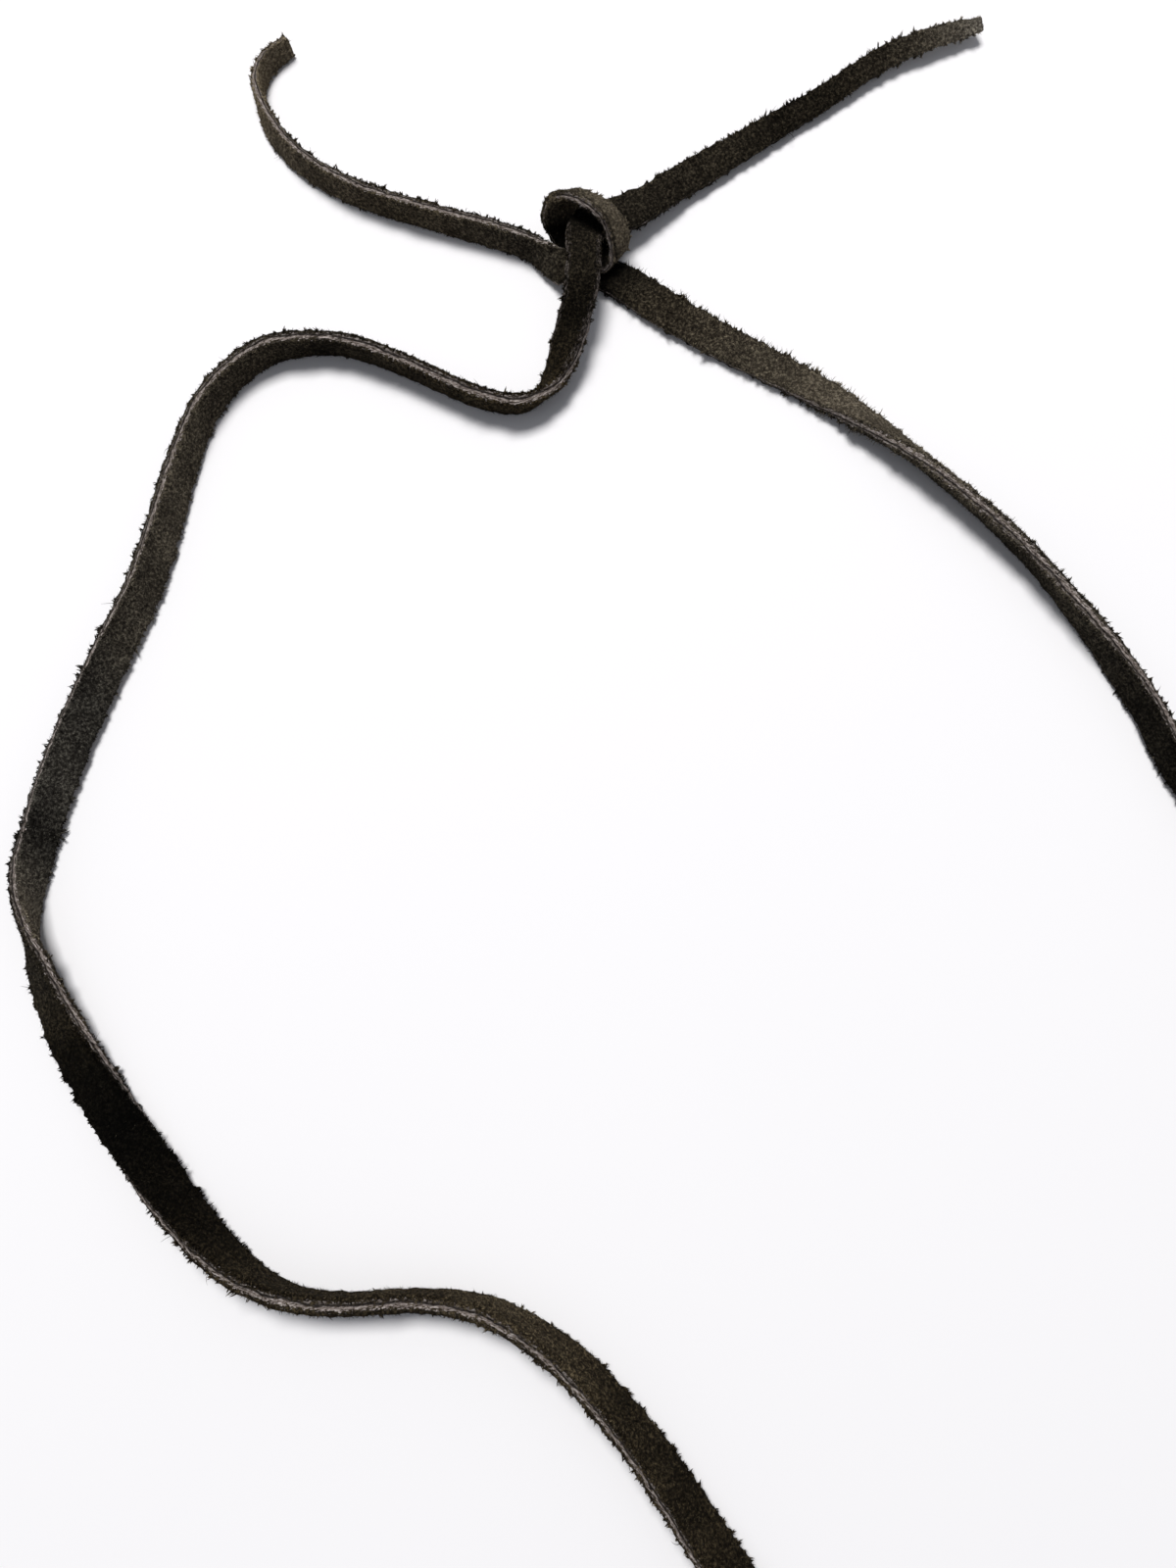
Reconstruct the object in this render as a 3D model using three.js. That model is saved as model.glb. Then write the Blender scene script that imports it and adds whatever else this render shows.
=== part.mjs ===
// Knotted suede lace necklace, lying on a flat surface.
//
// One flat lace of split leather is brought round into a neck loop and its two ends are tied with a single
// half knot; both tails are left free.  Millimetres, +Z up, Z = 0 is the surface that it lies on.
//
// The lace is followed from the end of one tail, through the knot, round the loop, back through the knot and
// out to the end of the other tail.  On that way "edge 1" is its left-hand cut edge, and "edge 2" the other.

import * as THREE from 'three';

// ---- driving dimensions of the lace ----

const WIDTH = 4.0;          // nominal, across the flat from cut edge to cut edge
const THICKNESS = 1.8;      // nominal, of the split leather
const CORNER = 0.35;        // how far the nap rounds each long corner off
const STEP_LYING = 2.0;     // spacing of the sections along the lace where it lies
const STEP_KNOT = 0.7;      // and where it turns in the knot

// ---- how the lace runs ----
// Rows of a lying stretch:  [x, y, lift, roll, width, thickness]
//   x, y  place of the lace's centre line over the surface
//   lift  clear height under its lowest corner, 0 where it rests
//   roll  degrees: 0 with its first face up, 90 on its edge with that face to the right,
//         180 with that face down
//   width, thickness  of the hand-cut leather at that place

const FIRST_TAIL = [
  [47.4, 93.4, 0.8, -28, 1.6, 1.0], [41.1, 91.3, 0.8, -26, 2.2, 1.2], [34.9, 88.5, 0.5, -25, 2.4, 1.3],
  [28.6, 84.1, 0.1, -25, 2.6, 1.4], [21.5, 79.5, 0, -24, 2.9, 1.5], [15.7, 75.6, 0.1, -22, 3.3, 1.5],
  [10.2, 71.8, 0.5, -18, 3.5, 1.5], [6.6, 68.9, 1.3, -8, 3.7, 1.4],
];

const LEFT_SIDE = [
  [-2.3, 50.4, 1.9, 22, 3.7, 1.6], [-3.3, 47.9, 0.7, 36, 3.4, 1.5], [-4.9, 45.3, 0.05, 58, 3.5, 1.5],
  [-7.6, 43.6, 0, 72, 3.8, 1.6], [-12.4, 44.4, 0, 79, 3.8, 1.6], [-16.9, 46.5, 0, 80, 3.8, 1.6],
  [-22.5, 49.2, 0, 80, 3.9, 1.6], [-28.3, 51.2, 0, 80, 3.9, 1.6], [-32.9, 51.4, 0, 82, 3.9, 1.6],
  [-37.1, 50.5, 0, 88, 3.9, 1.6], [-40.9, 47.6, 0, 95, 3.8, 1.6], [-44.0, 42.9, 0, 101, 3.8, 1.6],
  [-46.1, 35.7, 0, 107, 3.8, 1.6], [-47.4, 29.1, 0, 112, 3.9, 1.6], [-49.3, 21.5, 0, 118, 3.9, 1.6],
  [-51.9, 14.7, 0, 125, 4.0, 1.6], [-54.4, 8.0, 0, 129, 4.0, 1.6], [-56.4, 1.7, 0, 128, 4.0, 1.6],
  [-57.8, -4.5, 0, 120, 4.0, 1.6], [-58.7, -10.2, 0, 108, 4.1, 1.6], [-58.3, -14.7, 0, 80, 4.1, 1.5],
  [-56.8, -19.4, 0, 49, 4.1, 1.5], [-53.9, -25.4, 0, 29, 4.4, 1.6], [-50.3, -31.0, 0, 10, 4.5, 1.7],
  [-46.6, -35.8, 0, -15, 4.5, 1.7], [-41.9, -41.2, 0, -41, 4.5, 1.7], [-37.1, -46.2, 0, -63, 4.4, 1.8],
  [-32.6, -49.6, 0, -82, 4.4, 1.8], [-28.4, -51.3, 0, -94, 4.3, 1.8], [-23.6, -51.8, 0, -96, 4.1, 1.8],
  [-18.8, -51.5, 0, -96, 4.0, 1.8], [-15.0, -51.5, 0, -94, 3.9, 1.8], [-10.1, -52.2, 0, -87, 4.0, 1.8],
  [-5.1, -54.4, 0, -77, 4.2, 1.8], [-0.1, -58.1, 0, -66, 4.3, 1.8], [4.5, -62.9, 0, -58, 4.4, 1.8],
  [8.8, -68.5, 0, -50, 4.4, 1.8], [13.0, -74.4, 0, -40, 4.3, 1.8],
];

const FRONT_BEND = [
  [18.8, -82.0, 0, -20, 4.2, 1.8], [26.5, -89.6, 0, 0, 4.1, 1.8], [35.8, -95.8, 0, 0, 4.0, 1.8],
  [46.5, -99.2, 0, 0, 4.0, 1.8], [57.6, -99.2, 0, 0, 4.0, 1.8], [68.0, -95.6, 0, 0, 4.0, 1.8],
  [76.4, -88.8, 0, 0, 4.0, 1.8], [82.2, -79.6, 0, 0, 4.0, 1.8], [85.0, -68.8, 0, 0, 4.0, 1.8],
  [85.1, -57.4, 0, 0, 4.0, 1.8], [82.9, -45.8, 0, 0, 4.0, 1.8], [79.0, -34.0, 0, -8, 3.9, 1.8],
  [74.2, -22.6, 0, -24, 3.8, 1.7], [68.9, -11.5, 0, -46, 3.6, 1.7],
];

const RIGHT_SIDE = [
  [61.5, 2.1, 0, -66, 3.5, 1.6], [59.1, 7.9, 0, -72, 3.4, 1.6], [56.2, 13.3, 0, -83, 3.5, 1.6],
  [52.8, 18.5, 0, -98, 3.7, 1.6], [48.1, 25.0, 0, -108, 3.8, 1.6], [43.1, 30.5, 0, -112, 3.8, 1.6],
  [37.7, 35.7, 0, -118, 3.8, 1.6], [32.7, 40.1, 0, -139, 3.6, 1.5], [27.5, 44.3, 0, -168, 3.5, 1.4],
  [22.1, 47.8, 0, -186, 3.6, 1.3], [16.4, 51.0, 0, -194, 3.7, 1.3], [8.8, 55.8, 0, -198, 3.9, 1.3],
];

const SECOND_TAIL = [
  [-7.0, 63.8, 0, 98, 3.3, 1.4], [-11.3, 65.5, 0, 95, 3.5, 1.4], [-16.5, 67.2, 0, 90, 3.6, 1.4],
  [-21.8, 69.0, 0, 89, 3.6, 1.4], [-27.0, 71.0, 0, 91, 3.5, 1.4], [-31.5, 73.5, 0, 98, 3.2, 1.3],
  [-35.3, 76.6, 0, 104, 3.0, 1.3], [-38.0, 80.0, 0, 108, 2.8, 1.2], [-39.8, 83.8, 0, 98, 2.8, 1.2],
  [-40.4, 87.0, 0, 85, 2.7, 1.1], [-39.4, 90.0, 0, 80, 2.6, 1.0], [-37.0, 92.5, 0, 80, 2.4, 1.0],
];

// Rows of a stretch held up in the knot:  [edge 1: x, y, z,   edge 2: x, y, z,   thickness]
// A tight knot squeezes the leather, and folds its width together a little where it turns.

const STRAIGHT_THROUGH_KNOT = [   // the standing strand, which passes over the other and under its hood
  [4.4, 64.8, 2.75, 0.1, 67.6, 3.4, 1.1],
  [1.7, 63.0, 4.1, -2.3, 64.6, 4.6, 1.2],
  [1.3, 60.6, 4.7, -2.4, 60.7, 5.0, 1.3],
  [1.2, 57.1, 4.6, -2.6, 57.1, 4.8, 1.5],
  [0.4, 53.7, 3.8, -3.3, 53.5, 3.6, 1.6],
];

const WRAP_OF_KNOT = [            // the strand that goes once round the standing one
  [4.9, 61.3, 1.05, 2.8, 57.9, 0.7, 1.2],        // flat on the surface, under the standing strand
  [1.8, 63.4, 0.75, -0.4, 60.1, 0.7, 1.2],
  [0.4, 65.8, 0.9, -2.7, 62.9, 0.8, 1.2],
  [-0.9, 68.6, 1.4, -4.4, 64.8, 2.0, 1.15],      // curls up on the left
  [-1.3, 68.9, 2.2, -5.1, 65.2, 3.3, 1.15],
  [-1.4, 69.1, 3.0, -5.0, 66.1, 5.0, 1.15],
  [-1.1, 68.9, 3.8, -4.2, 66.5, 6.3, 1.15],
  [-0.7, 68.4, 4.6, -2.6, 66.2, 7.1, 1.1],       // arches over as a hood
  [0.6, 67.5, 5.0, -1.0, 65.4, 7.3, 1.1],
  [2.1, 66.6, 5.1, 0.6, 64.3, 7.1, 1.1],
  [3.7, 65.1, 4.8, 1.8, 63.1, 6.3, 1.1],
  [4.5, 63.5, 3.7, 2.5, 61.6, 4.6, 1.0],         // down on the right
  [4.1, 63.0, 2.6, 2.6, 60.8, 3.1, 1.0],
  [2.9, 63.8, 2.05, 2.0, 60.1, 2.6, 1.0],         // tucked back between the two strands
  [-0.2, 63.9, 2.55, -0.4, 59.9, 2.4, 1.2],
  [-2.9, 62.4, 2.7, -2.6, 59.1, 1.8, 1.3],
  [-4.5, 62.6, 3.2, -3.9, 60.1, 1.0, 1.35],      // and out on its edge as the second tail
];

// ---- from the rows to one smooth lace ----

const UP = new THREE.Vector3(0, 0, 1);

/** Height of the section's centre over its lowest corner, when it is rolled by so many degrees. */
function halfHeight(roll, width, thickness) {
  const upright = Math.abs(Math.sin(THREE.MathUtils.degToRad(roll)));
  const level = Math.abs(Math.cos(THREE.MathUtils.degToRad(roll)));
  const alongEdge = CORNER / WIDTH * width;
  const alongFace = CORNER / THICKNESS * thickness;
  const edgeCorner = width / 2 * upright + (thickness / 2 - alongFace) * level;
  const faceCorner = (width / 2 - alongEdge) * upright + thickness / 2 * level;
  return Math.max(edgeCorner, faceCorner);
}

function lyingStation([x, y, lift, roll, width, thickness]) {
  const centre = new THREE.Vector3(x, y, lift + halfHeight(roll, width, thickness));
  return { centre, roll, width, depth: thickness / THICKNESS, step: STEP_LYING };
}

function heldStation([x1, y1, z1, x2, y2, z2, thickness]) {
  const edge1 = new THREE.Vector3(x1, y1, z1);
  const edge2 = new THREE.Vector3(x2, y2, z2);
  const centre = edge1.clone().add(edge2).divideScalar(2);
  const across = edge2.clone().sub(edge1).divideScalar(WIDTH);
  return { centre, across, depth: thickness / THICKNESS, step: STEP_KNOT };
}

const stations = [
  ...FIRST_TAIL.map(lyingStation),
  ...STRAIGHT_THROUGH_KNOT.map(heldStation),
  ...LEFT_SIDE.map(lyingStation),
  ...FRONT_BEND.map(lyingStation),
  ...RIGHT_SIDE.map(lyingStation),
  ...WRAP_OF_KNOT.map(heldStation),
  ...SECOND_TAIL.map(lyingStation),
];

/** Across the lace at a lying station: level and to the right of its run, turned down by its roll. */
function acrossWhereLying(index) {
  const before = stations[Math.max(index - 1, 0)].centre;
  const after = stations[Math.min(index + 1, stations.length - 1)].centre;
  const run = after.clone().sub(before).normalize();
  const right = run.clone().cross(UP).normalize();
  const upright = right.clone().cross(run);
  const roll = THREE.MathUtils.degToRad(stations[index].roll);
  const across = right.multiplyScalar(Math.cos(roll)).addScaledVector(upright, -Math.sin(roll));
  return across.multiplyScalar(stations[index].width / WIDTH);
}

stations.forEach((station, index) => {
  station.across ??= acrossWhereLying(index);
});

/** The places of the lace's sections, as parts of the whole run. */
function sectionPlaces() {
  const places = [0];
  const spans = stations.length - 1;
  for (let i = 0; i < spans; i += 1) {
    const length = stations[i].centre.distanceTo(stations[i + 1].centre);
    const sections = Math.max(Math.round(length / Math.min(stations[i].step, stations[i + 1].step)), 1);
    for (let k = 1; k <= sections; k += 1) places.push((i + k / sections) / spans);
  }
  return places;
}

/** The lace's centre line, with frames that keep its width along the stations' own directions. */
class LaceRun extends THREE.CatmullRomCurve3 {
  constructor() {
    super(stations.map((station) => station.centre), false, 'centripetal');
    const acrosses = stations.map((station) => station.across);
    this.acrossCurve = new THREE.CatmullRomCurve3(acrosses, false, 'catmullrom');
    const depths = stations.map((station) => new THREE.Vector3(station.depth, 0, 0));
    this.depthCurve = new THREE.CatmullRomCurve3(depths, false, 'catmullrom');
    this.places = sectionPlaces();
  }

  getSpacedPoints() {
    return this.places.map((place) => this.getPoint(place));
  }

  computeFrenetFrames() {
    const frames = { tangents: [], normals: [], binormals: [] };
    this.places.forEach((place) => {
      const tangent = this.getTangent(place);
      const across = this.acrossCurve.getPoint(place);
      const depth = this.depthCurve.getPoint(place).x;
      frames.tangents.push(tangent);
      frames.normals.push(across);
      frames.binormals.push(tangent.clone().cross(across).normalize().multiplyScalar(depth));
    });
    return frames;
  }
}

/** The lace's section: a flat strip whose four long corners the nap rounds off. */
function laceSection() {
  const half = WIDTH / 2;
  const deep = THICKNESS / 2;
  const section = new THREE.Shape();
  section.moveTo(half, CORNER - deep);
  section.lineTo(half, deep - CORNER);
  section.lineTo(half - CORNER, deep);
  section.lineTo(CORNER - half, deep);
  section.lineTo(-half, deep - CORNER);
  section.lineTo(-half, CORNER - deep);
  section.lineTo(CORNER - half, -deep);
  section.lineTo(half - CORNER, -deep);
  section.closePath();
  return section;
}

const run = new LaceRun();
const laceGeometry = new THREE.ExtrudeGeometry(laceSection(), {
  steps: run.places.length - 1,
  bevelEnabled: false,
  extrudePath: run,
});

const suede = new THREE.MeshStandardMaterial({ color: 0x3a352b, roughness: 0.95, metalness: 0 });
const lace = new THREE.Mesh(laceGeometry, suede);
lace.name = 'lace';

// The origin is under the middle of the lace's box, on the surface.
const box = new THREE.Box3().setFromObject(lace);
const middle = box.getCenter(new THREE.Vector3());
lace.position.set(-middle.x, -middle.y, -box.min.z);

const necklace = new THREE.Group();
necklace.name = 'suede_lace_necklace';
necklace.add(lace);

export default necklace;
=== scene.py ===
import bpy
import numpy as np
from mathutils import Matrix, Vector


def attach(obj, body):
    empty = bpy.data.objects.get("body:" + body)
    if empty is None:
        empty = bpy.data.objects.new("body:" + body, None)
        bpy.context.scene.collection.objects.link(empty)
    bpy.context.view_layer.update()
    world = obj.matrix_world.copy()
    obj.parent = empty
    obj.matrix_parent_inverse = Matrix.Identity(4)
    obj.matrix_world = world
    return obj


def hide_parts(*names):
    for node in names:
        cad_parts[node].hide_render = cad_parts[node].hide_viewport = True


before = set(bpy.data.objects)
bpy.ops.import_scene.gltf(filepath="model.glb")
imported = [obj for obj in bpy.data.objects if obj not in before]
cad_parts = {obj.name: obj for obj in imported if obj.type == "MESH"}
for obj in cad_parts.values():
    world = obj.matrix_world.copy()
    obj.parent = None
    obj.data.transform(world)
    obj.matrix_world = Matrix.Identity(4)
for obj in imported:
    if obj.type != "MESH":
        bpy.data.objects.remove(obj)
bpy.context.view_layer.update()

# ---- The view --------------------------------------------------------------------------------------------
# A hand-held close view from about 12 cm over the table, tipped a little towards the far side, which takes in
# the knot, both tails and the left side of the neck loop.  The loop runs out of view at the right and in front.

MM = 0.001                                  # every size below is in millimetres, and Blender's unit is the metre

VIEW_PLACE = (-10.78, -19.62, 117.75)
VIEW_TURN = (11.215, 1.388, 0.136)          # degrees about X, Y and Z
VIEW_LENS = 25.67                           # for a frame 36 high

view = bpy.data.cameras.new("view")
view.sensor_fit = "VERTICAL"
view.sensor_height = 36
view.lens = VIEW_LENS
view.clip_start = 5 * MM
view_stand = bpy.data.objects.new("view", view)
view_stand.location = np.array(VIEW_PLACE) * MM
view_stand.rotation_euler = np.radians(VIEW_TURN)
bpy.context.scene.collection.objects.link(view_stand)
bpy.context.scene.camera = view_stand

# ---- The lace --------------------------------------------------------------------------------------------
# One flat lace of split leather, cut about 4 mm wide and 1.8 mm thick, and dyed dark on both napped faces.
# The dye stops short of the middle, so the cut edges show a pale raw core.  It is tied into a neck loop with
# one half knot, with both tails free, and is followed here from tip to tip, "edge 1" on its left on the way.

WIDTH, THICKNESS, CORNER = 4.0, 1.8, 0.35   # of the strip at its fullest, and how far its long corners round off

# Rows of a lying stretch: x, y of the middle line, clear height under the lace, roll in degrees (0 with its
# first face up), width, thickness.
FIRST_TAIL = [
    (47.4, 93.4, 0.8, -28, 1.6, 1.0), (41.1, 91.3, 0.8, -26, 2.2, 1.2), (34.9, 88.5, 0.5, -25, 2.4, 1.3),
    (28.6, 84.1, 0.1, -25, 2.6, 1.4), (21.5, 79.5, 0, -24, 2.9, 1.5), (15.7, 75.6, 0.1, -22, 3.3, 1.5),
    (10.2, 71.8, 0.5, -18, 3.5, 1.5), (6.6, 68.9, 1.3, -8, 3.7, 1.4),
]
LEFT_SIDE = [
    (-2.3, 50.4, 1.9, 22, 3.7, 1.6), (-3.3, 47.9, 0.7, 36, 3.4, 1.5), (-4.9, 45.3, 0.05, 58, 3.5, 1.5),
    (-7.6, 43.6, 0, 72, 3.8, 1.6), (-12.4, 44.4, 0, 79, 3.8, 1.6), (-16.9, 46.5, 0, 80, 3.8, 1.6),
    (-22.5, 49.2, 0, 80, 3.9, 1.6), (-28.3, 51.2, 0, 80, 3.9, 1.6), (-32.9, 51.4, 0, 82, 3.9, 1.6),
    (-37.1, 50.5, 0, 88, 3.9, 1.6), (-40.9, 47.6, 0, 95, 3.8, 1.6), (-44.0, 42.9, 0, 101, 3.8, 1.6),
    (-46.1, 35.7, 0, 107, 3.8, 1.6), (-47.4, 29.1, 0, 112, 3.9, 1.6), (-49.3, 21.5, 0, 118, 3.9, 1.6),
    (-51.9, 14.7, 0, 125, 4.0, 1.6), (-54.4, 8.0, 0, 129, 4.0, 1.6), (-56.4, 1.7, 0, 128, 4.0, 1.6),
    (-57.8, -4.5, 0, 120, 4.0, 1.6), (-58.7, -10.2, 0, 108, 4.1, 1.6), (-58.3, -14.7, 0, 80, 4.1, 1.5),
    (-56.8, -19.4, 0, 49, 4.1, 1.5), (-53.9, -25.4, 0, 29, 4.4, 1.6), (-50.3, -31.0, 0, 10, 4.5, 1.7),
    (-46.6, -35.8, 0, -15, 4.5, 1.7), (-41.9, -41.2, 0, -41, 4.5, 1.7), (-37.1, -46.2, 0, -63, 4.4, 1.8),
    (-32.6, -49.6, 0, -82, 4.4, 1.8), (-28.4, -51.3, 0, -94, 4.3, 1.8), (-23.6, -51.8, 0, -96, 4.1, 1.8),
    (-18.8, -51.5, 0, -96, 4.0, 1.8), (-15.0, -51.5, 0, -94, 3.9, 1.8), (-10.1, -52.2, 0, -87, 4.0, 1.8),
    (-5.1, -54.4, 0, -77, 4.2, 1.8), (-0.1, -58.1, 0, -66, 4.3, 1.8), (4.5, -62.9, 0, -58, 4.4, 1.8),
    (8.8, -68.5, 0, -50, 4.4, 1.8), (13.0, -74.4, 0, -40, 4.3, 1.8),
]
FRONT_BEND = [
    (18.8, -82.0, 0, -20, 4.2, 1.8), (26.5, -89.6, 0, 0, 4.1, 1.8), (35.8, -95.8, 0, 0, 4.0, 1.8),
    (46.5, -99.2, 0, 0, 4.0, 1.8), (57.6, -99.2, 0, 0, 4.0, 1.8), (68.0, -95.6, 0, 0, 4.0, 1.8),
    (76.4, -88.8, 0, 0, 4.0, 1.8), (82.2, -79.6, 0, 0, 4.0, 1.8), (85.0, -68.8, 0, 0, 4.0, 1.8),
    (85.1, -57.4, 0, 0, 4.0, 1.8), (82.9, -45.8, 0, 0, 4.0, 1.8), (79.0, -34.0, 0, -8, 3.9, 1.8),
    (74.2, -22.6, 0, -24, 3.8, 1.7), (68.9, -11.5, 0, -46, 3.6, 1.7),
]
RIGHT_SIDE = [
    (61.5, 2.1, 0, -66, 3.5, 1.6), (59.1, 7.9, 0, -72, 3.4, 1.6), (56.2, 13.3, 0, -83, 3.5, 1.6),
    (52.8, 18.5, 0, -98, 3.7, 1.6), (48.1, 25.0, 0, -108, 3.8, 1.6), (43.1, 30.5, 0, -112, 3.8, 1.6),
    (37.7, 35.7, 0, -118, 3.8, 1.6), (32.7, 40.1, 0, -139, 3.6, 1.5), (27.5, 44.3, 0, -168, 3.5, 1.4),
    (22.1, 47.8, 0, -186, 3.6, 1.3), (16.4, 51.0, 0, -194, 3.7, 1.3), (8.8, 55.8, 0, -198, 3.9, 1.3),
]
SECOND_TAIL = [
    (-7.0, 63.8, 0, 98, 3.3, 1.4), (-11.3, 65.5, 0, 95, 3.5, 1.4), (-16.5, 67.2, 0, 90, 3.6, 1.4),
    (-21.8, 69.0, 0, 89, 3.6, 1.4), (-27.0, 71.0, 0, 91, 3.5, 1.4), (-31.5, 73.5, 0, 98, 3.2, 1.3),
    (-35.3, 76.6, 0, 104, 3.0, 1.3), (-38.0, 80.0, 0, 108, 2.8, 1.2), (-39.8, 83.8, 0, 98, 2.8, 1.2),
    (-40.4, 87.0, 0, 85, 2.7, 1.1), (-39.4, 90.0, 0, 80, 2.6, 1.0), (-37.0, 92.5, 0, 80, 2.4, 1.0),
]
# Rows of a stretch held up in the knot: x, y, z of edge 1, x, y, z of edge 2, thickness.
STRAIGHT_THROUGH_KNOT = [
    (4.4, 64.8, 2.75, 0.1, 67.6, 3.4, 1.1), (1.7, 63.0, 4.1, -2.3, 64.6, 4.6, 1.2),
    (1.3, 60.6, 4.7, -2.4, 60.7, 5.0, 1.3), (1.2, 57.1, 4.6, -2.6, 57.1, 4.8, 1.5),
    (0.4, 53.7, 3.8, -3.3, 53.5, 3.6, 1.6),
]
WRAP_OF_KNOT = [
    (4.9, 61.3, 1.05, 2.8, 57.9, 0.7, 1.2), (1.8, 63.4, 0.75, -0.4, 60.1, 0.7, 1.2),
    (0.4, 65.8, 0.9, -2.7, 62.9, 0.8, 1.2), (-0.9, 68.6, 1.4, -4.4, 64.8, 2.0, 1.15),
    (-1.3, 68.9, 2.2, -5.1, 65.2, 3.3, 1.15), (-1.4, 69.1, 3.0, -5.0, 66.1, 5.0, 1.15),
    (-1.1, 68.9, 3.8, -4.2, 66.5, 6.3, 1.15), (-0.7, 68.4, 4.6, -2.6, 66.2, 7.1, 1.1),
    (0.6, 67.5, 5.0, -1.0, 65.4, 7.3, 1.1), (2.1, 66.6, 5.1, 0.6, 64.3, 7.1, 1.1),
    (3.7, 65.1, 4.8, 1.8, 63.1, 6.3, 1.1), (4.5, 63.5, 3.7, 2.5, 61.6, 4.6, 1.0),
    (4.1, 63.0, 2.6, 2.6, 60.8, 3.1, 1.0), (2.9, 63.8, 2.05, 2.0, 60.1, 2.6, 1.0),
    (-0.2, 63.9, 2.55, -0.4, 59.9, 2.4, 1.2), (-2.9, 62.4, 2.7, -2.6, 59.1, 1.8, 1.3),
    (-4.5, 62.6, 3.2, -3.9, 60.1, 1.0, 1.35),
]
STRETCHES = [FIRST_TAIL, STRAIGHT_THROUGH_KNOT, LEFT_SIDE, FRONT_BEND, RIGHT_SIDE, WRAP_OF_KNOT, SECOND_TAIL]


def unit(vectors):
    """Each vector divided by its own length."""
    return vectors / np.linalg.norm(vectors, axis=-1, keepdims=True)


def rows_to_frames(stretches):
    """Middle point, width vector over WIDTH, and thickness over THICKNESS, of every row.

    A lying row's middle is as high as its section's lowest corner needs, and its width vector is level and to
    the right of the way ahead, turned down by its roll.  A held row's are the mean and difference of its edges.
    """
    middles, rolls, widths, depths, helds = [], [], [], [], []
    for stretch in stretches:
        row = np.array(stretch, float)
        if row.shape[1] == 7:
            middles.append((row[:, :3] + row[:, 3:6]) / 2)
            helds.append(row[:, 3:6] - row[:, :3])
            rolls.append(np.full(len(row), np.nan))
            widths.append(np.full(len(row), WIDTH))
        else:
            upright, level = abs(np.sin(np.radians(row[:, 3]))), abs(np.cos(np.radians(row[:, 3])))
            half, deep = row[:, 4] / 2, row[:, 5] / 2
            edge_corner = half * upright + deep * (1 - 2 * CORNER / THICKNESS) * level
            face_corner = half * (1 - 2 * CORNER / WIDTH) * upright + deep * level
            high = row[:, 2] + np.maximum(edge_corner, face_corner)
            middles.append(np.column_stack([row[:, 0], row[:, 1], high]))
            helds.append(np.zeros((len(row), 3)))
            rolls.append(np.radians(row[:, 3]))
            widths.append(row[:, 4])
        depths.append(row[:, -1] / THICKNESS)
    middle, held, roll, width = (np.concatenate(x) for x in (middles, helds, rolls, widths))
    ahead = np.concatenate([middle[1:], middle[-1:]]) - np.concatenate([middle[:1], middle[:-1]])
    right = unit(np.cross(unit(ahead), (0, 0, 1)))
    upright = np.cross(right, unit(ahead))
    lying = (right * np.cos(roll)[:, None] - upright * np.sin(roll)[:, None]) * width[:, None]
    across = np.where(np.isnan(roll)[:, None], held, np.nan_to_num(lying))
    return middle, across / WIDTH, np.concatenate(depths)[:, None]


def through(rows, place, even=False):
    """Catmull-Rom curve through rows, at places counted in rows: a cubic over each span, whose slopes at its
    ends come from the rows on either side.  A span counts as the root of its length, or as 1 with even."""
    first = np.clip(place.astype(int), 0, len(rows) - 2)
    longer = np.concatenate([2 * rows[:1] - rows[1:2], rows, 2 * rows[-1:] - rows[-2:-1]])
    p0, p1, p2, p3 = (longer[first + k] for k in range(4))
    d0, d1, d2 = ((np.linalg.norm(b - a, axis=1, keepdims=True) ** 0.5 if not even else 1.0)
                  for a, b in ((p0, p1), (p1, p2), (p2, p3)))
    m1 = ((p1 - p0) / d0 - (p2 - p0) / (d0 + d1) + (p2 - p1) / d1) * d1
    m2 = ((p2 - p1) / d1 - (p3 - p1) / (d1 + d2) + (p3 - p2) / d2) * d1
    t = (place - first)[:, None]
    return p1 + t * (m1 + t * (-3 * p1 + 3 * p2 - 2 * m1 - m2 + t * (2 * p1 - 2 * p2 + m1 + m2)))


RING_STEP, AROUND = 0.33, 44                # spacing of the mesh's rings, and points round each
TABLE_CLEARANCE = 0.02                      # of the skin, whose lumps would otherwise dip into the table

row_middle, row_across, row_depth = rows_to_frames(STRETCHES)
fine_place = np.linspace(0, len(row_middle) - 1, 60 * len(row_middle))
fine_middle = through(row_middle, fine_place)
fine_run = np.append(0, np.cumsum(np.linalg.norm(np.diff(fine_middle, axis=0), axis=1)))
lace_length = fine_run[-1]
run = np.linspace(0, lace_length, round(lace_length / RING_STEP))
place = np.interp(run, fine_run, fine_place)
middle = through(row_middle, place)
ahead = unit(np.gradient(middle, axis=0))
across = through(row_across, place, even=True)
depth = unit(np.cross(ahead, across)) * through(row_depth, place, even=True)

# The rows count from a point of their own.  The model's origin is under the middle of the lace's box.
ROWS_TO_FRAME = (-13.685, 3.715, 0.08)
middle = middle + ROWS_TO_FRAME


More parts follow.
